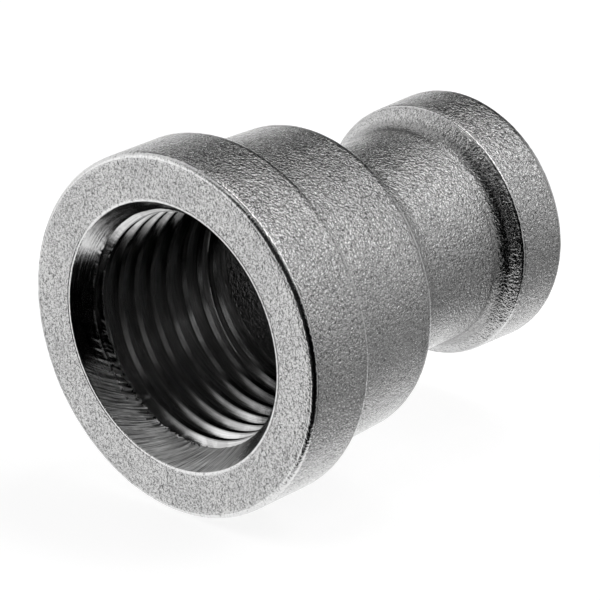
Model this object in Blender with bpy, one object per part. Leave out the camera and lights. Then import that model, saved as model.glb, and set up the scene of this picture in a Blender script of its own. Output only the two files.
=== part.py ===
"""Concentric reducer: a threaded reducing coupling with a raised band at each end.

The real object is one stainless steel casting. It is modelled as its named sections,
together with the metal that carries the two taper threads cut inside it.
The bore axis is +Y and the large end faces -Y. The origin lies on the bore axis,
halfway between the two end faces. Every length is in metres.
"""

import math

import bmesh
import bpy

MM = 0.001
SEGMENTS = 48
ROUND_STEPS = 4
FILLET_STEPS = 8
SHARP_ANGLE = math.radians(35.0)
MERGE_DISTANCE = 0.001 * MM
GAP = 0.3 * MM

LENGTH = 36.0 * MM

# Large end
LARGE_BAND_RADIUS = 15.2 * MM
LARGE_BAND_WIDTH = 6.6 * MM
BARREL_FRONT_RADIUS = 13.45 * MM
BARREL_REAR_RADIUS = 13.15 * MM
LARGE_MOUTH_RADIUS = 11.23 * MM
LARGE_THREAD_DEPTH = 16.0 * MM
LARGE_CORE_RADIUS = 8.95 * MM

# Reducing shoulder, which curves down into the neck
SHOULDER_START = 15.7 * MM
SHOULDER_FILLET = 5.0 * MM
SHOULDER_FOOT = 21.5 * MM
CAVITY_RADIUS = 9.1 * MM
WATERWAY_RADIUS = 5.7 * MM

# Small end
NECK_RADIUS = 9.3 * MM
SMALL_BAND_START = 29.7 * MM
SMALL_BAND_EDGE = 30.9 * MM
SMALL_BAND_FRONT_RADIUS = 10.9 * MM
SMALL_BAND_REAR_RADIUS = 11.0 * MM
SMALL_MOUTH_RADIUS = 7.4 * MM
SMALL_THREAD_DEPTH = 11.0 * MM
SMALL_RING_LENGTH = 15.1 * MM

# Rounding of the cast edges
EDGE_ROUND = 0.5 * MM
BARREL_EDGE_ROUND = 0.7 * MM
BAND_STEP_FILLET = 1.2 * MM

# Bevel of both mouths, as the radius it loses for each metre inward
BEVEL_SLOPE = math.tan(math.radians(34.0))

# Taper pipe threads: the diameter falls by 1 in 16
TAPER = 1.0 / 32.0
FLANK_SLOPE = math.tan(math.radians(30.0))
LARGE_THREAD = {"pitch": 25.4 * MM / 14.0, "root": 10.75 * MM, "crest": 9.75 * MM}
SMALL_THREAD = {"pitch": 25.4 * MM / 18.0, "root": 6.76 * MM, "crest": 6.22 * MM}
ROOT_FLAT = 0.08
LEAD_IN_START = 1.3 * MM
LEAD_IN_END = 2.2 * MM
FADE_TURNS = 2.0
TAP_OVERRUN = 3.12 * MM

CAST_SKIN = {"color": (0.60, 0.60, 0.60, 1.0), "roughness": 0.55}
MACHINED_FACE = {"color": (0.50, 0.50, 0.51, 1.0), "roughness": 0.25}


def clear_scene():
    for item in list(bpy.data.objects):
        bpy.data.objects.remove(item, do_unlink=True)


def steel(name, finish):
    material = bpy.data.materials.new(name)
    material.use_nodes = True
    shader = material.node_tree.nodes["Principled BSDF"]
    shader.inputs["Base Color"].default_value = finish["color"]
    shader.inputs["Roughness"].default_value = finish["roughness"]
    shader.inputs["Metallic"].default_value = 1.0
    material.diffuse_color = finish["color"]
    return material


def add_object(name, mesh):
    item = bpy.data.objects.new(name, mesh)
    bpy.context.scene.collection.objects.link(item)
    return item


def shade(mesh):
    mesh.shade_smooth()
    mesh.set_sharp_from_angle(angle=SHARP_ANGLE)


def arc(station, radius, bend, start, end, steps=ROUND_STEPS):
    """Points of a round corner about (station, radius), its angles in degrees from +Y."""
    points = []
    for step in range(steps + 1):
        angle = math.radians(start + (end - start) * step / steps)
        points.append((station + bend * math.cos(angle), radius + bend * math.sin(angle)))
    return points


def turned(name, outline, finish):
    """Spin a closed outline of (distance from the large face, radius) about the bore axis."""
    shape = bmesh.new()
    corners = [shape.verts.new((radius, station - LENGTH / 2, 0.0)) for station, radius in outline]
    for corner, following in zip(corners, corners[1:] + corners[:1]):
        shape.edges.new((corner, following))
    bmesh.ops.spin(
        shape,
        geom=shape.verts[:] + shape.edges[:],
        axis=(0.0, 1.0, 0.0),
        cent=(0.0, 0.0, 0.0),
        angle=2 * math.pi,
        steps=SEGMENTS,
        use_merge=True,
    )
    bmesh.ops.remove_doubles(shape, verts=shape.verts[:], dist=MERGE_DISTANCE)
    bmesh.ops.recalc_face_normals(shape, faces=shape.faces[:])
    mesh = bpy.data.meshes.new(name)
    shape.to_mesh(mesh)
    shape.free()
    shade(mesh)
    mesh.materials.append(steel(name + "_steel", finish))
    return add_object(name, mesh)


def tap_radius(thread, level, travel, depth):
    """Radius of the plug at a distance inward: its thread grows, fades out, then a cone ends it."""
    crest = thread["crest"] - TAPER * travel
    growth = (travel - LEAD_IN_START) / (LEAD_IN_END - LEAD_IN_START)
    fade = (depth - travel) / (FADE_TURNS * thread["pitch"])
    height = thread[level] - thread["crest"]
    height *= min(1.0, max(0.0, min(growth, fade)))
    return crest + min(height, depth - travel)


def tap(name, thread, depth, face, inward):
    """A threaded taper plug, the space that the thread leaves inside a socket.

    The plug starts outside the face, runs inward for the depth and thins over its last turns.
    Its rows follow the helix, four to a turn: the two edges of a root and of a crest.
    """
    pitch = thread["pitch"]
    flank = (thread["root"] - thread["crest"]) * FLANK_SLOPE / pitch
    marks = [(0.0, "root"), (ROOT_FLAT, "root"), (ROOT_FLAT + flank, "crest"), (1.0 - flank, "crest")]
    turns = math.ceil((depth + 2 * TAP_OVERRUN) / pitch)

    shape = bmesh.new()
    rows = []
    for turn in range(turns + 1):
        for offset, level in marks:
            row = []
            for segment in range(SEGMENTS):
                part_turn = segment / SEGMENTS
                travel = (turn + offset + part_turn) * pitch - TAP_OVERRUN
                radius = tap_radius(thread, level, travel, depth)
                angle = -inward * 2 * math.pi * part_turn
                place = (radius * math.cos(angle), face + inward * travel, radius * math.sin(angle))
                row.append(shape.verts.new(place))
            rows.append(row)

    per_turn = len(marks)
    last = len(rows) - 1
    for index in range(last - per_turn):
        for segment in range(SEGMENTS - 1):
            add_quad(shape, rows, index, segment)
        add_seam(shape, rows, index, per_turn)
    close_end(shape, rows, 0, per_turn, face - inward * TAP_OVERRUN)
    reach = turns * pitch - TAP_OVERRUN
    close_end(shape, rows, last - per_turn, per_turn, face + inward * reach)
    bmesh.ops.delete(shape, geom=[v for v in shape.verts if not v.link_faces], context="VERTS")
    bmesh.ops.triangulate(shape, faces=shape.faces[:])
    bmesh.ops.recalc_face_normals(shape, faces=shape.faces[:])
    mesh = bpy.data.meshes.new(name)
    shape.to_mesh(mesh)
    shape.free()
    item = add_object(name, mesh)
    item.hide_render = True
    item.display_type = "WIRE"
    return item


def add_quad(shape, rows, index, segment):
    shape.faces.new(
        (
            rows[index][segment],
            rows[index][segment + 1],
            rows[index + 1][segment + 1],
            rows[index + 1][segment],
        )
    )


def add_seam(shape, rows, index, per_turn):
    """Join the last segment of a row to the first segment of the row one turn on."""
    shape.faces.new(
        (
            rows[index][-1],
            rows[index + per_turn][0],
            rows[index + per_turn + 1][0],
            rows[index + 1][-1],
        )
    )


def close_end(shape, rows, index, per_turn, station):
    """Close one end of the plug with a fan to the axis, which also closes the helix's step."""
    hub = shape.verts.new((0.0, station, 0.0))
    rim = list(rows[index])
    rim += [rows[index + step][0] for step in range(per_turn, 0, -1)]
    for corner, following in zip(rim, rim[1:] + rim[:1]):
        shape.faces.new((corner, following, hub))


def cut(target, cutter):
    modifier = target.modifiers.new("tapped_thread", "BOOLEAN")
    modifier.operation = "DIFFERENCE"
    modifier.solver = "EXACT"
    modifier.object = cutter


def make_large_end_band():
    bore = LARGE_MOUTH_RADIUS + GAP
    outline = [(0.0, bore)]
    outline += arc(EDGE_ROUND, LARGE_BAND_RADIUS - EDGE_ROUND, EDGE_ROUND, 180.0, 90.0)
    rear = LARGE_BAND_WIDTH - EDGE_ROUND
    outline += arc(rear, LARGE_BAND_RADIUS - EDGE_ROUND, EDGE_ROUND, 90.0, 0.0)
    outline += [(LARGE_BAND_WIDTH, bore)]
    turned("large_end_band", outline, CAST_SKIN)


def make_large_end_barrel():
    bore = LARGE_MOUTH_RADIUS + GAP
    front = LARGE_BAND_WIDTH + GAP
    rear = SHOULDER_START - GAP
    outline = [(front, bore)]
    foot = (front + BAND_STEP_FILLET, BARREL_FRONT_RADIUS + BAND_STEP_FILLET)
    outline += arc(foot[0], foot[1], BAND_STEP_FILLET, 180.0, 270.0)
    outline += [(rear, BARREL_REAR_RADIUS), (rear, bore)]
    turned("large_end_barrel", outline, CAST_SKIN)


def make_reducing_shoulder():
    """The barrel's rounded rear edge, and the hollow curve that runs on from it to the neck."""
    bore = LARGE_MOUTH_RADIUS + GAP
    ledge = LARGE_THREAD_DEPTH + GAP
    socket = SMALL_MOUTH_RADIUS + GAP
    ring_end = LENGTH - SMALL_RING_LENGTH - GAP
    edge_radius = BARREL_REAR_RADIUS - BARREL_EDGE_ROUND
    fillet_radius = NECK_RADIUS + SHOULDER_FILLET
    rise = fillet_radius - edge_radius
    reach = math.sqrt((SHOULDER_FILLET + BARREL_EDGE_ROUND) ** 2 - rise**2)
    meeting = math.degrees(math.atan2(rise, reach))
    outline = [(SHOULDER_START, bore), (SHOULDER_START, BARREL_REAR_RADIUS)]
    outline += arc(SHOULDER_FOOT - reach, edge_radius, BARREL_EDGE_ROUND, 90.0, meeting)
    foot = (SHOULDER_FOOT, fillet_radius)
    outline += arc(foot[0], foot[1], SHOULDER_FILLET, 180.0 + meeting, 270.0, FILLET_STEPS)[1:]
    outline += [(SHOULDER_FOOT, socket), (ring_end, socket), (ring_end, WATERWAY_RADIUS)]
    cone_end = ledge + CAVITY_RADIUS - WATERWAY_RADIUS
    outline += [(cone_end, WATERWAY_RADIUS), (ledge, CAVITY_RADIUS), (ledge, bore)]
    turned("reducing_shoulder", outline, CAST_SKIN)


def make_small_end_neck():
    front = SHOULDER_FOOT + GAP
    rear = SMALL_BAND_START - GAP
    socket = SMALL_MOUTH_RADIUS + GAP
    outline = [(front, socket), (front, NECK_RADIUS), (rear, NECK_RADIUS), (rear, socket)]
    turned("small_end_neck", outline, CAST_SKIN)


def make_small_end_band():
    socket = SMALL_MOUTH_RADIUS + GAP
    outline = [(SMALL_BAND_START, socket), (SMALL_BAND_START, NECK_RADIUS)]
    outline += [(SMALL_BAND_EDGE - EDGE_ROUND / 2, SMALL_BAND_FRONT_RADIUS - EDGE_ROUND / 2)]
    outline += [(SMALL_BAND_EDGE, SMALL_BAND_FRONT_RADIUS)]
    rear = LENGTH - EDGE_ROUND
    outline += arc(rear, SMALL_BAND_REAR_RADIUS - EDGE_ROUND, EDGE_ROUND, 90.0, 0.0)
    outline += [(LENGTH, socket)]
    turned("small_end_band", outline, CAST_SKIN)


def threaded_ring(name, outline, thread, depth, face, inward):
    ring = turned(name, outline, MACHINED_FACE)
    plug = tap(name + "_tap", thread, depth, face - LENGTH / 2, inward)
    cut(ring, plug)


def make_large_end_thread():
    """The metal inside the large end: its mouth is bevelled, then threaded."""
    bevel_end = (LARGE_MOUTH_RADIUS - LARGE_CORE_RADIUS) / BEVEL_SLOPE
    outline = [(0.0, LARGE_MOUTH_RADIUS), (LARGE_THREAD_DEPTH, LARGE_MOUTH_RADIUS)]
    outline += [(LARGE_THREAD_DEPTH, LARGE_CORE_RADIUS), (bevel_end, LARGE_CORE_RADIUS)]
    threaded_ring("large_end_thread", outline, LARGE_THREAD, LARGE_THREAD_DEPTH, 0.0, 1)


def make_small_end_thread():
    """The metal inside the small end, which reaches past its thread to the waterway."""
    inner_end = LENGTH - SMALL_RING_LENGTH
    bevel_end = LENGTH - (SMALL_MOUTH_RADIUS - WATERWAY_RADIUS) / BEVEL_SLOPE
    outline = [(LENGTH, SMALL_MOUTH_RADIUS), (inner_end, SMALL_MOUTH_RADIUS)]
    outline += [(inner_end, WATERWAY_RADIUS), (bevel_end, WATERWAY_RADIUS)]
    threaded_ring("small_end_thread", outline, SMALL_THREAD, SMALL_THREAD_DEPTH, LENGTH, -1)


def main():
    clear_scene()
    make_large_end_band()
    make_large_end_barrel()
    make_reducing_shoulder()
    make_small_end_neck()
    make_small_end_band()
    make_large_end_thread()
    make_small_end_thread()


main()
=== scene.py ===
"""Looks for the concentric reducer: a blasted stainless casting with bright tapped sockets.

Every outline is turned about the bore axis, +Y. A point on an outline is (station, radius):
its distance in from the large end face, and its distance from the axis. Lengths are metres.
"""

import math

import bpy
import numpy as np
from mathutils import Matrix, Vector, noise


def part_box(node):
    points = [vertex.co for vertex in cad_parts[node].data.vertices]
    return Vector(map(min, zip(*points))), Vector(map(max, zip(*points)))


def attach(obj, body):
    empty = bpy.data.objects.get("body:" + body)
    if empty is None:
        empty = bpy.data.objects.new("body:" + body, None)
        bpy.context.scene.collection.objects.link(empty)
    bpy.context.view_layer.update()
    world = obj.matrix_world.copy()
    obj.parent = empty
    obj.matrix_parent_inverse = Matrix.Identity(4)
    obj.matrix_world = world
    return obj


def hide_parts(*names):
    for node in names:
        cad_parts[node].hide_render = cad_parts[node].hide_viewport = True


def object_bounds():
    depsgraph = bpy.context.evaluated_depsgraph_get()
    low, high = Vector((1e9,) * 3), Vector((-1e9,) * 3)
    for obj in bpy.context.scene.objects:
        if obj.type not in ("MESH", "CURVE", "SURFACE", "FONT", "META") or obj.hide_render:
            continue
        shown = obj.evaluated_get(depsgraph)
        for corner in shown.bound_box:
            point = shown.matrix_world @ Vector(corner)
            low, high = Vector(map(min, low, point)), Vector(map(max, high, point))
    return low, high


MM = 0.001
ROOT_BODY = "root"

# Mesh density
COLUMNS = 448
SOCKET_COLUMNS = 720
SKIN_STEP = 0.20 * MM
INNER_STEP = 0.60 * MM
MERGE = 0.01 * MM
SHARP_ANGLE = math.radians(40.0)

# Shapes that the CAD has too
EDGE_ROUND = 0.5 * MM
BARREL_EDGE_ROUND = 0.7 * MM
BAND_STEP_FILLET = 1.2 * MM
SHOULDER_FILLET = 5.0 * MM
BARREL_FRONT_RADIUS = 13.45 * MM
SMALL_BAND_RAMP = 1.2 * MM
SMALL_BAND_DRAFT = 0.1 * MM
BEVEL_ANGLE = math.radians(34.0)
CAVITY_RADIUS = 9.1 * MM
WATERWAY_RADIUS = 5.7 * MM

# Finer shapes than the CAD's
NECK_CREASE = 0.80 * MM
MOUTH_ROUND = 0.15 * MM
BROW_ROUND = 0.6 * EDGE_ROUND
WALL_CLEARANCE = 0.05 * MM

# Relief of the cast skin, always inward
WAVE_SCALE = 260.0
WAVE_DEPTH = 0.050 * MM
LUMP_SCALE = 1500.0
LUMP_DEPTH = 0.025 * MM
RELIEF_FADE = 0.5 * MM

# Taper threads: the diameter falls by 1 in 16. The helix starts TAP_START before the face, grows
# in between the two lead-in depths, and fades out over its last turns. What is higher than
# CREST_HEIGHT, as a share of the thread's height, has the crest's look.
TAPER = 1.0 / 32.0
FLANK_SLOPE = math.tan(math.radians(30.0))
ROOT_FLAT = 0.08
CREST_HEIGHT = 0.85
LEAD_IN_START = 1.3 * MM
LEAD_IN_END = 2.2 * MM
FADE_TURNS = 2.0
TAP_START = 3.12 * MM
LARGE_THREAD = {
    "pitch": 25.4 * MM / 14.0,
    "root": 10.75 * MM,
    "crest": 9.75 * MM,
    "depth": 16.0 * MM,
    "bore": 8.95 * MM,
}
SMALL_THREAD = {
    "pitch": 25.4 * MM / 18.0,
    "root": 6.76 * MM,
    "crest": 6.22 * MM,
    "depth": 11.0 * MM,
    "bore": WATERWAY_RADIUS,
}

# Chatter on the bevel: it leans across it, and leaves teeth along its inner edge on one side.
# A side is an angle round the axis. A spread is the cosine of the angle from that side at which
# the marks begin, and CHATTER_FULL is the same for where they are full.
CHATTER_SIDE = math.radians(262.0)
CHATTER_SPREAD = 0.45
CHATTER_FULL = 0.85
TOOTH_SIDE = math.radians(240.0)
TOOTH_SPREAD = 0.60
CHATTER_PITCH = 0.26 * MM
CHATTER_STRETCH = 0.12
CHATTER_LEAN = 1.15
TOOTH_HEIGHT = 0.24 * MM
BURR_HEIGHT = 0.08 * MM
BURR_WIDTH = 0.20 * MM
CHATTER_RIDGE = 0.09 * MM
CHATTER_FINENESS = 1.4

# Grain of the cast skin: how fine each layer is, and how high it stands
PEBBLE_SCALE = 4200.0
PEBBLE_HEIGHT = 0.150 * MM
GRIT_SCALE = 8500.0
GRIT_HEIGHT = 0.040 * MM
KNOB_SCALE = 900.0
KNOB_HEIGHT = 0.060 * MM
PATCH_SCALE = 160.0

# Cut metal: how fine its stains and scuffs are, and the turn that makes a highlight stretch
# across the turning marks, from the tangent round the axis
SMEAR_SCALE = 420.0
SCUFF_SCALE = 2400.0
QUARTER_TURN = 0.25

# Greys of the steel
CAST_TONES = (0.62, 0.70)
PIT_TONE = 0.20
# Painted shade, with some oxide, for the tight hollows of the cast skin
HOLLOW_SHADE_AND_OXIDE_TONE = 0.12
WORN_TONE = 0.80
# Painted shade along the bevel's chatter lines
CHATTER_SHADE_TONE = 0.12

# The camera, aimed close to the middle of the part
CAMERA_AZIMUTH = math.radians(41.77)
CAMERA_ELEVATION = math.radians(22.68)
CAMERA_DISTANCE = 0.3282
CAMERA_AIM = Vector((-0.0008, -0.0018, -0.0020))
CAMERA_LENS = 240.0
CAMERA_SENSOR = 36.0

FLOOR_SIZE = 4.0
FLOOR_TONE = 0.50
FLOOR_GLOW = 0.80

# The studio: an even room with soft round patches laid over it, each over the ones before.
# A patch is its direction (right, up, backward as the camera sees it), the angle from its middle
# within which it is full, the angle at which it ends (both in degrees), and its level.
ROOM_LEVEL = 0.34
LIGHT_CARDS = (
    # White boxes on the left, the first of which the large end face mirrors
    ((-0.92, -0.40, -0.05), 24.0, 38.0, 1.10),
    ((-0.95, 0.30, -0.08), 12.0, 26.0, 1.30),
    ((-0.93, -0.12, 0.32), 8.0, 18.0, 1.20),
    ((-0.75, 0.42, -0.50), 14.0, 34.0, 0.90),
    # The white wall behind the part
    ((0.00, 0.00, -1.00), 26.0, 48.0, 1.15),
    # A dimmer box on the right, and shade below and behind it
    ((0.92, 0.40, 0.10), 24.0, 44.0, 0.60),
    ((0.75, -0.47, -0.47), 10.0, 40.0, 0.18),
    # A dark ceiling
    ((0.12, 0.84, -0.53), 24.0, 42.0, 0.03),
    ((0.00, 0.96, 0.28), 12.0, 30.0, 0.03),
    # Small lamps along the right edge of the ceiling, which make the upper grain sparkle
    ((0.72, 0.62, 0.30), 5.0, 12.0, 3.20),
    ((0.53, 0.81, 0.20), 5.0, 12.0, 3.20),
    ((0.27, 0.96, 0.00), 5.0, 12.0, 3.40),
    # Two fill lights above on the left, which the bottom of the bevel mirrors
    ((-0.50, 0.83, -0.10), 14.0, 30.0, 0.80),
    ((-0.25, 0.75, 0.60), 8.0, 20.0, 1.00),
    # The white table below
    ((-0.05, -0.90, -0.43), 36.0, 46.0, 1.05),
    # Darkness in front, which the bevel, the threads and the small band's ramp mirror
    ((0.05, -0.55, 0.83), 51.5, 56.0, 0.00),
    ((-0.10, 0.30, 0.95), 20.0, 28.0, 0.02),
    ((-0.72, -0.38, 0.58), 14.0, 24.0, 0.03),
    ((-0.52, 0.14, 0.84), 20.0, 30.0, 0.02),
)

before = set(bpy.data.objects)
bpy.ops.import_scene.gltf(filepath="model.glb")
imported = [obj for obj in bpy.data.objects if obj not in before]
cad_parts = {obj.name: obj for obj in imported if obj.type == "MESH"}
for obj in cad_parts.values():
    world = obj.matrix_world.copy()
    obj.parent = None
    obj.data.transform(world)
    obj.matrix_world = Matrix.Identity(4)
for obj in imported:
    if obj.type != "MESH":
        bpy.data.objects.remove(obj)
cad_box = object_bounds()


def outer_radius(node):
    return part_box(node)[1].z


LARGE_FACE_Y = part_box("large_end_band")[0].y


def station_of(y):
    return y - LARGE_FACE_Y


BAND_RADIUS = outer_radius("large_end_band")
BAND_END = station_of(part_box("large_end_band")[1].y)
BARREL_REAR_RADIUS = outer_radius("reducing_shoulder")
SHOULDER_START = station_of(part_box("reducing_shoulder")[0].y)
SHOULDER_FOOT = station_of(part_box("reducing_shoulder")[1].y)
NECK_RADIUS = outer_radius("small_end_neck")
SMALL_BAND_START = station_of(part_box("small_end_band")[0].y)
SMALL_BAND_EDGE = SMALL_BAND_START + SMALL_BAND_RAMP
SMALL_BAND_RADIUS = outer_radius("small_end_band")
LENGTH = station_of(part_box("small_end_band")[1].y)
LARGE_MOUTH = outer_radius("large_end_thread")
SMALL_MOUTH = outer_radius("small_end_thread")
LARGE_RING_END = station_of(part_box("large_end_thread")[1].y)
SMALL_RING_START = station_of(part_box("small_end_thread")[0].y)
BEVEL_SLOPE = math.tan(BEVEL_ANGLE)
MOUTH_TURN = math.pi / 2 - BEVEL_ANGLE
MOUTH_REACH = MOUTH_ROUND * math.tan(MOUTH_TURN / 2)
MOUTH_LIP = MOUTH_REACH * math.cos(BEVEL_ANGLE)
LARGE_WALL = LARGE_MOUTH + WALL_CLEARANCE
SMALL_WALL = SMALL_MOUTH + WALL_CLEARANCE


# Outlines


def arc(station, radius, bend, start, end, steps=12):
    """Points of a round corner about (station, radius), its angles in degrees from +Y."""
    points = []
    for step in range(steps + 1):
        angle = math.radians(start + (end - start) * step / steps)
        points.append((station + bend * math.cos(angle), radius + bend * math.sin(angle)))
    return points


def large_face_and_band():
    rim = BAND_RADIUS - EDGE_ROUND
    turn = math.degrees(MOUTH_TURN)
    points = arc(MOUTH_ROUND, LARGE_MOUTH + MOUTH_REACH, MOUTH_ROUND, 180.0 + turn, 180.0)
    points += arc(EDGE_ROUND, rim, EDGE_ROUND, 180.0, 90.0)
    points += arc(BAND_END - EDGE_ROUND, rim, EDGE_ROUND, 90.0, 0.0)
    return points


def barrel():
    foot = BAND_END + BAND_STEP_FILLET
    points = [(BAND_END, BAND_RADIUS - EDGE_ROUND)]
    points += arc(foot, BARREL_FRONT_RADIUS + BAND_STEP_FILLET, BAND_STEP_FILLET, 180.0, 270.0)
    points += [(SHOULDER_START, BARREL_REAR_RADIUS)]
    return points


def shoulder():
    """The barrel's rounded rear edge, and the hollow curve that runs on from it to the neck."""
    edge_radius = BARREL_REAR_RADIUS - BARREL_EDGE_ROUND
    fillet_radius = NECK_RADIUS + SHOULDER_FILLET
    rise = fillet_radius - edge_radius
    reach = math.sqrt((SHOULDER_FILLET + BARREL_EDGE_ROUND) ** 2 - rise**2)
    meeting = math.degrees(math.atan2(rise, reach))
    points = [(SHOULDER_START, BARREL_REAR_RADIUS)]
    points += arc(SHOULDER_FOOT - reach, edge_radius, BARREL_EDGE_ROUND, 90.0, meeting)
    points += arc(SHOULDER_FOOT, fillet_radius, SHOULDER_FILLET, 180.0 + meeting, 270.0, steps=24)
    return points


def neck():
    return [(SHOULDER_FOOT, NECK_RADIUS), (SMALL_BAND_START - NECK_CREASE, NECK_RADIUS)]


def small_band_and_face():
    """The small band, from the crease where the neck turns up into its sloping front."""
    front = SMALL_BAND_RADIUS - SMALL_BAND_DRAFT
    rim = SMALL_BAND_RADIUS - EDGE_ROUND
    slope = math.degrees(math.atan2(front - NECK_RADIUS, SMALL_BAND_RAMP))
    bend = NECK_CREASE / math.tan(math.radians(slope / 2))
    crease = SMALL_BAND_START - NECK_CREASE
    points = arc(crease, NECK_RADIUS + bend, bend, 270.0, 270.0 + slope)
    brow_station = SMALL_BAND_EDGE + BROW_ROUND * math.tan(math.radians(slope / 2))
    points += arc(brow_station, front - BROW_ROUND, BROW_ROUND, 90.0 + slope, 90.0)
    points += arc(LENGTH - EDGE_ROUND, rim, EDGE_ROUND, 90.0, 0.0)
    turn = math.degrees(MOUTH_TURN)
    points += arc(LENGTH - MOUTH_ROUND, SMALL_MOUTH + MOUTH_REACH, MOUTH_ROUND, 0.0, -turn)
    return points


def evenly(points, step):
    """The same outline with its corners kept and a point at least every step."""
    dense = [points[0]]
    for (station, radius), (next_station, next_radius) in zip(points, points[1:]):
        length = math.hypot(next_station - station, next_radius - radius)
        if length < MERGE:
            continue
        count = math.ceil(length / step)
        for index in range(1, count + 1):
            share = index / count
            dense.append(
                (station + (next_station - station) * share, radius + (next_radius - radius) * share)
            )
    return np.array(dense)


# Turned meshes


def place(station, radius, angle):
    return (radius * math.cos(angle), LARGE_FACE_Y + station, radius * math.sin(angle))


def circle(station, radius):
    return [place(station, radius, 2 * math.pi * column / COLUMNS) for column in range(COLUMNS)]


def cast_relief(spot):
    """How far the cast skin lies below its outline: slow waves and small lumps."""
    waves = noise.noise(spot * WAVE_SCALE) * 0.5 + 0.5
    lumps = noise.noise(spot * LUMP_SCALE) * 0.5 + 0.5
    return WAVE_DEPTH * waves + LUMP_DEPTH * lumps


def outline_bends(outline):
    """How strongly each point of an outline turns: 1 on a rounded edge, -1 in a tight hollow."""
    run = np.diff(outline, axis=0)
    heading = np.unwrap(np.arctan2(run[:, 1], run[:, 0]))
    lengths = np.hypot(run[:, 0], run[:, 1])
    turn = np.zeros(len(outline))
    turn[1:-1] = -np.diff(heading) / ((lengths[1:] + lengths[:-1]) / 2)
    # Averaged, because a long step of an arc is cut in two, and turns only at its ends
    turn = np.convolve(turn, (0.25, 0.5, 0.25), mode="same")
    return np.clip(turn * EDGE_ROUND, -1.0, 1.0)


def cast_skin():
    """The whole cast skin from mouth to mouth: its points, normals and bends, row by row."""
    outlines = [large_face_and_band(), barrel(), shoulder(), neck(), small_band_and_face()]
    parts = [evenly(points, SKIN_STEP) for points in outlines]
    starts = [0]
    for part in parts:
        starts.append(starts[-1] + len(part) - 1)
    outline = np.concatenate([parts[0]] + [part[1:] for part in parts[1:]])

    run = np.gradient(outline, axis=0)
    run /= np.linalg.norm(run, axis=1)[:, None]
    steps = np.hypot(*np.diff(outline, axis=0).T)
    travel = np.concatenate([[0.0], np.cumsum(steps)])
    from_mouth = np.minimum(travel, travel[-1] - travel)
    fades = np.clip(from_mouth / RELIEF_FADE, 0.0, 1.0)
    points = np.empty((len(outline), COLUMNS, 3))
    for row, (station, radius), (ahead, outward), fade in zip(points, outline, run, fades):
        for column, spot in enumerate(circle(station, radius)):
            depth = fade * cast_relief(Vector(spot))
            angle = 2 * math.pi * column / COLUMNS
            row[column] = place(station + outward * depth, radius - ahead * depth, angle)

    along = np.gradient(points, axis=0)
    around = np.roll(points, -1, axis=1) - np.roll(points, 1, axis=1)
    normals = np.cross(along, around)
    normals /= np.linalg.norm(normals, axis=2)[:, :, None]
    return points, normals, outline_bends(outline), starts


def ring_faces(first_row, second_row):
    """Quads between two rows of vertices, given as lists of vertex numbers."""
    following = first_row[1:] + first_row[:1]
    second_following = second_row[1:] + second_row[:1]
    return list(zip(first_row, second_row, second_following, following))


def finish_piece(name, mesh, node):
    piece = bpy.data.objects.new(name, mesh)
    bpy.context.scene.collection.objects.link(piece)
    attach(piece, ROOT_BODY)
    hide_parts(node)


def cast_section(name, node, skin, first, last, inner, material):
    """One section of the casting: some rows of the skin, and the inner walls that close it."""
    points, normals, bends, _ = skin
    vertices = [tuple(spot) for row in points[first : last + 1] for spot in row]
    shown_rows = last - first + 1
    for station, radius in evenly(inner, INNER_STEP):
        vertices += circle(station, radius)
    rows = len(vertices) // COLUMNS
    numbers = [list(range(row * COLUMNS, (row + 1) * COLUMNS)) for row in range(rows)]
    faces = []
    for row in range(rows):
        faces += ring_faces(numbers[row], numbers[(row + 1) % rows])

    mesh = bpy.data.meshes.new(name)
    mesh.from_pydata(vertices, [], faces)
    mesh.materials.append(material)
    mesh.shade_smooth()
    mesh.set_sharp_from_angle(angle=SHARP_ANGLE)
    bend = mesh.attributes.new("bend", "FLOAT", "POINT")
    values = np.full(len(vertices), -1.0, dtype=np.float32)
    values[: shown_rows * COLUMNS] = np.repeat(bends[first : last + 1], COLUMNS)
    bend.data.foreach_set("value", values)

    # The sections keep the normals of the whole skin, so that no seam shows between them
    shown = normals[first : last + 1].reshape(-1, 3)
    loops = np.zeros((len(faces) * 4, 3))
    corners = np.array(faces[: (shown_rows - 1) * COLUMNS]).reshape(-1)
    loops[: len(corners)] = shown[corners]
    mesh.normals_split_custom_set(loops)
    finish_piece(name, mesh, node)


# Threads


def thread_marks(thread):
    """Across one pitch: (share of the pitch, height), from a rounded root at 0 to a crest at 1."""
    flank = (thread["root"] - thread["crest"]) * FLANK_SLOPE / thread["pitch"]
    rise = ROOT_FLAT + flank
    fall = 1.0 - flank
    marks = [(0.0, 0.02), (ROOT_FLAT / 3, 0.0), (ROOT_FLAT * 2 / 3, 0.0), (ROOT_FLAT, 0.03)]
    marks += [(ROOT_FLAT + flank * share, share) for share in (0.15, 0.3, 0.45, 0.6, 0.75, 0.9)]
    marks += [(rise + (fall - rise) * step / 6, 1.0) for step in range(7)]
    marks += [(fall + flank * share, 1.0 - share) for share in (0.3, 0.6, 0.85)]
    return marks


def chatter(radius, travel, angle):
    """Ragged noise along the bevel, and its strength: 1 on the side with teeth, 0 away from it."""
    leaning = angle - CHATTER_LEAN * travel / radius
    around = Vector((math.cos(leaning), math.sin(leaning), 0.0)) * radius / CHATTER_PITCH
    ragged = noise.noise(around + Vector((0.0, 0.0, CHATTER_STRETCH * travel / CHATTER_PITCH)))
    near = math.cos(angle - TOOTH_SIDE)
    strength = min(1.0, max(0.0, (near - TOOTH_SPREAD) / (1.0 - TOOTH_SPREAD) * 2.0))
    return ragged, strength


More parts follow.
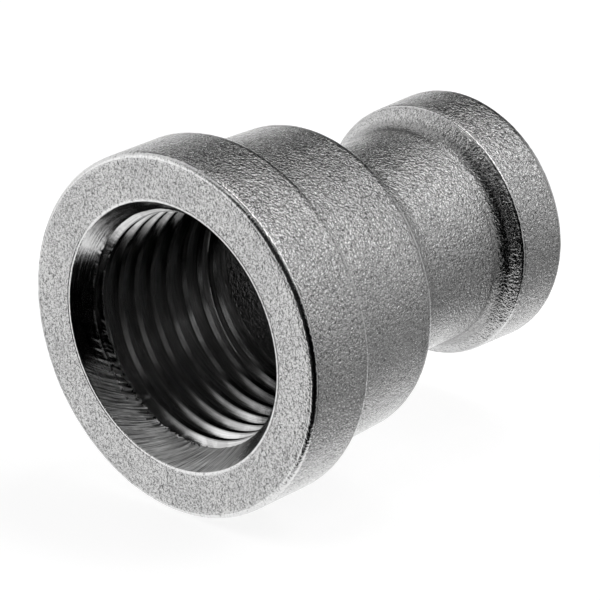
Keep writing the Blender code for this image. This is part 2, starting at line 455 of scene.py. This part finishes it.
def bore_radius(thread, mouth, height, travel, angle):
    """Radius of the socket's surface, and whether the mouth's bevel is what is seen there."""
    crest = thread["crest"] - TAPER * travel
    tall = thread["root"] - thread["crest"]
    growth = (travel - LEAD_IN_START) / (LEAD_IN_END - LEAD_IN_START)
    fade = (thread["depth"] - travel) / (FADE_TURNS * thread["pitch"])
    fade = min(1.0, max(0.0, min(growth, fade)))
    wall = max(thread["bore"], crest + tall * min(1.0 - height, fade))
    edge = (mouth - thread["crest"]) / BEVEL_SLOPE
    if travel > edge + 2 * BURR_WIDTH:
        return wall, False
    ragged, strength = chatter(mouth, travel, angle)
    depth_share = min(1.0, travel / edge)
    bevel = mouth - travel * BEVEL_SLOPE
    bevel += ragged * (BURR_HEIGHT + TOOTH_HEIGHT * strength * depth_share) * depth_share**2
    near = max(0.0, 1.0 - abs(travel - edge) / BURR_WIDTH)
    wall -= BURR_HEIGHT * near * height * max(0.0, ragged)
    return max(wall, bevel), bevel >= wall


def socket_points(thread, marks, mouth, face, inward, ring_end):
    """A socket's points: all of them, its three plain rims, its rows along the helix, and the
    ones that lie on the bevel. All but the first are vertex numbers."""
    pitch = thread["pitch"]
    length = abs(ring_end - face)
    turns = math.ceil((length + TAP_START) / pitch) + 1
    angles = [-inward * 2 * math.pi * column / SOCKET_COLUMNS for column in range(SOCKET_COLUMNS)]
    lip = face + inward * MOUTH_LIP
    vertices = [place(lip, mouth - MOUTH_LIP * BEVEL_SLOPE, angle) for angle in angles]
    vertices += [place(ring_end, thread["bore"], angle) for angle in angles]
    vertices += [place(ring_end, mouth, angle) for angle in angles]
    mouth_row = list(range(SOCKET_COLUMNS))
    bore_row = list(range(SOCKET_COLUMNS, 2 * SOCKET_COLUMNS))
    back_row = list(range(2 * SOCKET_COLUMNS, 3 * SOCKET_COLUMNS))
    on_bevel = set(mouth_row)

    rows = []
    for turn in range(turns):
        for offset, height in marks:
            row = []
            for column, angle in enumerate(angles):
                travel = (turn + offset + column / SOCKET_COLUMNS) * pitch - TAP_START
                if travel < MOUTH_LIP + MERGE:
                    row.append(mouth_row[column])
                elif travel > length - MERGE:
                    row.append(bore_row[column])
                else:
                    radius, bevelled = bore_radius(thread, mouth, height, travel, angle)
                    if bevelled:
                        on_bevel.add(len(vertices))
                    row.append(len(vertices))
                    vertices.append(place(face + inward * travel, radius, angle))
            rows.append(row)
    return vertices, (mouth_row, bore_row, back_row), rows, on_bevel


def socket_faces(marks, rims, rows, on_bevel, looks):
    """The faces between a socket's points, and the material of each."""
    mouth_row, bore_row, back_row = rims
    per_turn = len(marks)
    faces = ring_faces(bore_row, back_row) + ring_faces(back_row, mouth_row)
    finishes = [looks["flank"]] * len(faces)
    for index in range(len(rows) - per_turn - 1):
        row = rows[index]
        above = rows[index + 1]
        after = row[1:] + [rows[index + per_turn][0]]
        above_after = above[1:] + [rows[index + per_turn + 1][0]]
        height = min(marks[index % per_turn][1], marks[(index + 1) % per_turn][1])
        # Crest faces take the crest steel, whose darker greys are painted shade
        finish = looks["crest"] if height > CREST_HEIGHT else looks["flank"]
        for corners in zip(row, above, above_after, after):
            corners = list(dict.fromkeys(corners))
            if len(corners) < 3:
                continue
            faces.append(corners)
            finishes.append(looks["bevel"] if on_bevel.issuperset(corners) else finish)
    return faces, finishes


def tapped_socket(name, node, thread, mouth, face, inward, ring_end, looks):
    """The metal inside one end: a bevelled mouth, then the thread, which follows its helix."""
    marks = thread_marks(thread)
    vertices, rims, rows, on_bevel = socket_points(thread, marks, mouth, face, inward, ring_end)
    faces, finishes = socket_faces(marks, rims, rows, on_bevel, looks)
    mesh = bpy.data.meshes.new(name)
    mesh.from_pydata(vertices, [], faces)
    materials = list(looks.values())
    for material in materials:
        mesh.materials.append(material)
    mesh.polygons.foreach_set("material_index", [materials.index(look) for look in finishes])
    mesh.shade_smooth()
    mesh.set_sharp_from_angle(angle=SHARP_ANGLE)
    finish_piece(name, mesh, node)


# Materials


def add_node(tree, kind, sockets=None, **settings):
    made = tree.nodes.new(kind)
    for key, value in settings.items():
        setattr(made, key, value)
    for key, value in (sockets or {}).items():
        if isinstance(value, bpy.types.NodeSocket):
            tree.links.new(value, made.inputs[key])
        else:
            made.inputs[key].default_value = value
    return made


def add_math(tree, operation, first, second=0.0):
    return add_node(tree, "ShaderNodeMath", {0: first, 1: second}, operation=operation).outputs[0]


def add_noise(tree, spot, scale, detail=2.0, roughness=0.5, distortion=0.0):
    sockets = {"Vector": spot, "Scale": scale, "Detail": detail}
    sockets |= {"Roughness": roughness, "Distortion": distortion}
    return add_node(tree, "ShaderNodeTexNoise", sockets).outputs["Fac"]


def remap(tree, value, low, high, to_low, to_high, smooth=False):
    sockets = {"Value": value, "From Min": low, "From Max": high}
    sockets |= {"To Min": to_low, "To Max": to_high}
    kind = "SMOOTHSTEP" if smooth else "LINEAR"
    return add_node(tree, "ShaderNodeMapRange", sockets, interpolation_type=kind).outputs["Result"]


def blend(tree, share, first, second):
    """A colour between two others."""
    made = add_node(tree, "ShaderNodeMix", data_type="RGBA")
    for name, value in (("Factor_Float", share), ("A_Color", first), ("B_Color", second)):
        socket = next(item for item in made.inputs if item.identifier == name)
        if isinstance(value, bpy.types.NodeSocket):
            tree.links.new(value, socket)
        else:
            socket.default_value = value
    return next(item for item in made.outputs if item.identifier == "Result_Color")


def grey(value, warmth=0.0):
    return (value * (1.0 + warmth), value, value * (1.0 - warmth), 1.0)


def new_steel(name):
    material = bpy.data.materials.new(name)
    material.use_nodes = True
    tree = material.node_tree
    shader = tree.nodes["Principled BSDF"]
    shader.inputs["Metallic"].default_value = 1.0
    return material, tree, shader


def set_bump(tree, shader, height):
    """Raise the surface by a height in metres."""
    bump = add_node(tree, "ShaderNodeBump", {"Height": height, "Strength": 1.0, "Distance": 1.0})
    tree.links.new(bump.outputs["Normal"], shader.inputs["Normal"])


def cast_steel():
    """Blasted investment casting: a pebbled grain, fine specks and rubbed edges."""
    material, tree, shader = new_steel("blasted_cast_steel")
    spot = add_node(tree, "ShaderNodeTexCoord").outputs["Object"]
    bend = add_node(tree, "ShaderNodeAttribute", attribute_name="bend").outputs["Fac"]
    pebbles = add_noise(tree, spot, PEBBLE_SCALE, detail=1.5, roughness=0.5, distortion=0.6)
    grit = add_noise(tree, spot, GRIT_SCALE, detail=2.0, roughness=0.6)
    knobs = add_noise(tree, spot, KNOB_SCALE, detail=1.0)
    patches = add_noise(tree, spot, PATCH_SCALE, detail=3.0)
    worn = remap(tree, add_math(tree, "MULTIPLY", bend, pebbles), 0.15, 0.45, 0.0, 1.0)
    hollow = remap(tree, bend, -0.6, 0.0, 1.0, 0.0)

    # Low spots of the grain are dark, tight hollows darker with painted shade and some oxide, and
    # rubbed edges bright
    dull, bright = CAST_TONES
    patchy = remap(tree, patches, 0.35, 0.65, 0.0, 1.0)
    shade = blend(tree, patchy, grey(dull), grey(bright, 0.004))
    shade = blend(tree, remap(tree, grit, 0.30, 0.46, 0.80, 0.0), shade, grey(PIT_TONE))
    shade = blend(tree, remap(tree, pebbles, 0.26, 0.40, 0.70, 0.0), shade, grey(PIT_TONE))
    # Painted shade, with some oxide, in the tight hollows of the outline
    hollow_shade_share = add_math(tree, "MULTIPLY", hollow, 0.8)
    shade = blend(tree, hollow_shade_share, shade, grey(HOLLOW_SHADE_AND_OXIDE_TONE, 0.01))
    shade = blend(tree, add_math(tree, "MULTIPLY", worn, 0.6), shade, grey(WORN_TONE))
    tree.links.new(shade, shader.inputs["Base Color"])

    rough = remap(tree, patches, 0.3, 0.7, 0.17, 0.23)
    rough = add_math(tree, "ADD", rough, remap(tree, grit, 0.3, 0.7, 0.04, -0.04))
    rough = add_math(tree, "SUBTRACT", rough, add_math(tree, "MULTIPLY", worn, 0.06))
    tree.links.new(rough, shader.inputs["Roughness"])

    height = add_math(tree, "MULTIPLY", pebbles, PEBBLE_HEIGHT)
    height = add_math(tree, "ADD", height, add_math(tree, "MULTIPLY", grit, GRIT_HEIGHT))
    height = add_math(tree, "ADD", height, add_math(tree, "MULTIPLY", knobs, KNOB_HEIGHT))
    turned_away = remap(tree, add_math(tree, "ABSOLUTE", bend), 0.0, 0.6, 1.0, 0.3)
    set_bump(tree, shader, add_math(tree, "MULTIPLY", height, turned_away))
    return material


def bore_coordinates(tree):
    """Distance from the axis, distance along it, and the spot's direction from the axis."""
    spot = add_node(tree, "ShaderNodeTexCoord").outputs["Object"]
    split = add_node(tree, "ShaderNodeSeparateXYZ", {"Vector": spot})
    flat = add_node(tree, "ShaderNodeCombineXYZ", {"X": split.outputs["X"], "Z": split.outputs["Z"]})
    length = add_node(tree, "ShaderNodeVectorMath", {0: flat.outputs[0]}, operation="LENGTH")
    unit = add_node(tree, "ShaderNodeVectorMath", {0: flat.outputs[0]}, operation="NORMALIZE")
    return spot, length.outputs["Value"], split.outputs["Y"], unit.outputs["Vector"]


def scaled(tree, vector, factor):
    sockets = {0: vector, "Scale": factor}
    return add_node(tree, "ShaderNodeVectorMath", sockets, operation="SCALE").outputs["Vector"]


def tool_marks(tree, radius, station, around, fineness, drift):
    """Fine lines that run round the bore, varying slowly along their length."""
    across = {"X": add_math(tree, "MULTIPLY", radius, fineness)}
    across["Y"] = add_math(tree, "MULTIPLY", station, fineness)
    lines = add_node(tree, "ShaderNodeCombineXYZ", across).outputs[0]
    where = {0: scaled(tree, around, drift), 1: lines}
    where = add_node(tree, "ShaderNodeVectorMath", where, operation="ADD").outputs["Vector"]
    return add_noise(tree, where, 1.0, detail=3.0, roughness=0.6)


def chatter_marks(tree, station, around):
    """The bevel's chatter: lines that lean across it, and their strength, full on one side."""
    turn = add_math(tree, "MULTIPLY", station, CHATTER_LEAN / LARGE_MOUTH)
    sockets = {"Vector": around, "Angle": turn}
    leaning = add_node(tree, "ShaderNodeVectorRotate", sockets, rotation_type="Y_AXIS")
    fineness = LARGE_MOUTH / CHATTER_PITCH * CHATTER_FINENESS
    lines = scaled(tree, leaning.outputs["Vector"], fineness)
    drift = {"Y": add_math(tree, "MULTIPLY", station, CHATTER_STRETCH / CHATTER_PITCH)}
    drift = add_node(tree, "ShaderNodeCombineXYZ", drift).outputs[0]
    where = add_node(tree, "ShaderNodeVectorMath", {0: lines, 1: drift}, operation="ADD")
    marks = add_noise(tree, where.outputs["Vector"], 1.0, detail=2.0, roughness=0.6)
    side = (math.cos(CHATTER_SIDE), 0.0, math.sin(CHATTER_SIDE))
    near = add_node(tree, "ShaderNodeVectorMath", {0: around, 1: side}, operation="DOT_PRODUCT")
    near = near.outputs["Value"]
    return marks, remap(tree, near, CHATTER_SPREAD, CHATTER_FULL, 0.0, 1.0, smooth=True)


def machined_steel(name, tones, roughness, anisotropy, mark_depth, fineness, drift, smear):
    """Steel cut by a turning tool or a tap, with its marks round the bore."""
    material, tree, shader = new_steel(name)
    spot, radius, station, around = bore_coordinates(tree)
    marks = tool_marks(tree, radius, station, around, fineness, drift)
    smears = add_noise(tree, spot, SMEAR_SCALE, detail=3.0, roughness=0.6, distortion=0.8)
    scuffs = add_noise(tree, spot, SCUFF_SCALE, detail=2.0)

    shade = blend(tree, remap(tree, marks, 0.35, 0.65, 0.0, 1.0), grey(tones[0]), grey(tones[1]))
    stain = remap(tree, smears, 0.42, 0.62, 0.0, smear, smooth=True)
    shade = blend(tree, stain, shade, grey(tones[0] * 0.55, 0.01))
    rough = remap(tree, marks, 0.3, 0.7, roughness[0], roughness[1])
    rough = add_math(tree, "ADD", rough, remap(tree, smears, 0.35, 0.65, -0.03, 0.05))
    height = add_math(tree, "MULTIPLY", marks, mark_depth)
    height = add_math(tree, "ADD", height, add_math(tree, "MULTIPLY", scuffs, mark_depth * 0.35))
    shader.inputs["Anisotropic"].default_value = anisotropy
    shader.inputs["Anisotropic Rotation"].default_value = QUARTER_TURN
    tangent = add_node(tree, "ShaderNodeTangent", direction_type="RADIAL", axis="Y")
    tree.links.new(tangent.outputs["Tangent"], shader.inputs["Tangent"])
    return material, tree, shader, shade, rough, height


def join_finish(tree, shader, shade, rough, height):
    tree.links.new(shade, shader.inputs["Base Color"])
    tree.links.new(rough, shader.inputs["Roughness"])
    set_bump(tree, shader, height)


def flank_steel():
    """The cut sides of the thread: satin, with fine marks along the helix."""
    material, *parts = machined_steel(
        "tapped_flank",
        tones=(0.56, 0.72),
        roughness=(0.14, 0.22),
        anisotropy=0.4,
        mark_depth=0.010 * MM,
        fineness=7000.0,
        drift=5.0,
        smear=0.45,
    )
    join_finish(*parts)
    return material


def shaded_crest_steel():
    """The flats left between the cuts: the bored wall, glossy, in darker greys that are painted
    shade.
    """
    material, *parts = machined_steel(
        "tapped_crest_painted_shade",
        # Darker greys than the flank's: painted shade on the crests
        tones=(0.34, 0.46),
        roughness=(0.10, 0.18),
        anisotropy=0.3,
        mark_depth=0.006 * MM,
        fineness=5000.0,
        drift=6.0,
        smear=0.4,
    )
    join_finish(*parts)
    return material


def bevel_steel():
    """The mouth's bevel: bright turned rings, and chatter on its worst side, its lines darkened with
    painted shade.
    """
    material, tree, shader, shade, rough, height = machined_steel(
        "turned_bevel",
        tones=(0.60, 0.74),
        roughness=(0.12, 0.22),
        anisotropy=0.5,
        mark_depth=0.018 * MM,
        fineness=5000.0,
        drift=4.0,
        smear=0.3,
    )
    _, _, station, around = bore_coordinates(tree)
    marks, share = chatter_marks(tree, station, around)
    # Painted shade along the chatter lines, full on their side of the bevel
    lines = add_math(tree, "MULTIPLY", remap(tree, marks, 0.52, 0.36, 0.0, 0.8), share)
    shade = blend(tree, lines, shade, grey(CHATTER_SHADE_TONE))
    rough = add_math(tree, "ADD", rough, add_math(tree, "MULTIPLY", share, 0.18))
    ridges = add_math(tree, "MULTIPLY", marks, CHATTER_RIDGE)
    height = add_math(tree, "ADD", height, add_math(tree, "MULTIPLY", ridges, share))
    join_finish(tree, shader, shade, rough, height)
    return material


# Camera, floor and light


def camera_axes():
    """The camera's right, up and backward directions."""
    flat = math.cos(CAMERA_ELEVATION)
    back = Vector(
        (
            math.sin(CAMERA_AZIMUTH) * flat,
            -math.cos(CAMERA_AZIMUTH) * flat,
            math.sin(CAMERA_ELEVATION),
        )
    )
    right = Vector((0.0, 0.0, 1.0)).cross(back).normalized()
    return right, back.cross(right), back


def add_camera():
    data = bpy.data.cameras.new("camera")
    data.lens = CAMERA_LENS
    data.sensor_width = CAMERA_SENSOR
    data.clip_start = 0.01
    data.clip_end = 10.0
    camera = bpy.data.objects.new("camera", data)
    bpy.context.scene.collection.objects.link(camera)
    back = camera_axes()[2]
    camera.location = CAMERA_AIM + back * CAMERA_DISTANCE
    camera.rotation_euler = back.to_track_quat("Z", "Y").to_euler()
    bpy.context.scene.camera = camera


def add_floor():
    """A pale floor that glows a little, under the large band. The steel doesn't mirror it."""
    half = FLOOR_SIZE / 2
    level = cad_box[0][2]
    corners = [(-half, -half, level), (half, -half, level), (half, half, level), (-half, half, level)]
    mesh = bpy.data.meshes.new("floor")
    mesh.from_pydata(corners, [], [(0, 1, 2, 3)])
    material = bpy.data.materials.new("pale_floor")
    material.use_nodes = True
    shader = material.node_tree.nodes["Principled BSDF"]
    shader.inputs["Base Color"].default_value = grey(FLOOR_TONE)
    shader.inputs["Roughness"].default_value = 0.9
    shader.inputs["Specular IOR Level"].default_value = 0.0
    shader.inputs["Emission Color"].default_value = grey(1.0)
    shader.inputs["Emission Strength"].default_value = FLOOR_GLOW
    mesh.materials.append(material)
    floor = bpy.data.objects.new("floor", mesh)
    floor.visible_glossy = False
    floor.visible_shadow = False
    bpy.context.scene.collection.objects.link(floor)


def light_card(tree, light, direction, full_angle, end_angle, level):
    """Lay a soft round patch over the light so far."""
    right, up, back = camera_axes()
    aim = right * direction[0] + up * direction[1] + back * direction[2]
    aim.normalize()
    heading = add_node(tree, "ShaderNodeTexCoord").outputs["Generated"]
    towards = add_node(tree, "ShaderNodeVectorMath", {0: heading, 1: aim}, operation="DOT_PRODUCT")
    full = math.cos(math.radians(full_angle))
    end = math.cos(math.radians(end_angle))
    share = remap(tree, towards.outputs["Value"], end, full, 0.0, 1.0, smooth=True)
    return blend(tree, share, light, grey(level))


def add_light():
    """Soft studio light from the world alone. The camera itself sees plain white behind the part."""
    world = bpy.data.worlds.new("studio")
    bpy.context.scene.world = world
    world.use_nodes = True
    tree = world.node_tree
    background = tree.nodes["Background"]
    light = grey(ROOM_LEVEL)
    for direction, full_angle, end_angle, level in LIGHT_CARDS:
        light = light_card(tree, light, direction, full_angle, end_angle, level)
    seen = add_node(tree, "ShaderNodeLightPath").outputs["Is Camera Ray"]
    light = blend(tree, seen, light, grey(1.0))
    tree.links.new(light, background.inputs["Color"])


def inner_walls():
    """For each section, the outline of the walls inside it, from its rear edge to its front one."""
    return {
        "large_end_band": [(BAND_END, LARGE_WALL), (RELIEF_FADE, LARGE_WALL)],
        "large_end_barrel": [(SHOULDER_START, LARGE_WALL), (BAND_END, LARGE_WALL)],
        "reducing_shoulder": [
            (SHOULDER_FOOT, SMALL_WALL),
            (SMALL_RING_START, SMALL_WALL),
            (SMALL_RING_START, WATERWAY_RADIUS),
            (LARGE_RING_END + CAVITY_RADIUS - WATERWAY_RADIUS, WATERWAY_RADIUS),
            (LARGE_RING_END, CAVITY_RADIUS),
            (LARGE_RING_END, LARGE_WALL),
            (SHOULDER_START, LARGE_WALL),
        ],
        "small_end_neck": [
            (SMALL_BAND_START - NECK_CREASE, SMALL_WALL),
            (SHOULDER_FOOT, SMALL_WALL),
        ],
        "small_end_band": [
            (LENGTH - RELIEF_FADE, SMALL_WALL),
            (SMALL_BAND_START - NECK_CREASE, SMALL_WALL),
        ],
    }


def main():
    cast = cast_steel()
    looks = {"flank": flank_steel(), "crest": shaded_crest_steel(), "bevel": bevel_steel()}
    skin = cast_skin()
    starts = skin[3]
    for index, (node, inner) in enumerate(inner_walls().items()):
        cast_section(node + "_skin", node, skin, starts[index], starts[index + 1], inner, cast)
    sockets = (
        ("large_end", LARGE_THREAD, LARGE_MOUTH, 0.0, 1, LARGE_RING_END),
        ("small_end", SMALL_THREAD, SMALL_MOUTH, LENGTH, -1, SMALL_RING_START),
    )
    for end, thread, mouth, face, inward, ring_end in sockets:
        name, node = end + "_socket", end + "_thread"
        tapped_socket(name, node, thread, mouth, face, inward, ring_end, looks)
    add_camera()
    add_floor()
    add_light()
    bpy.context.scene.view_settings.view_transform = "Standard"


main()
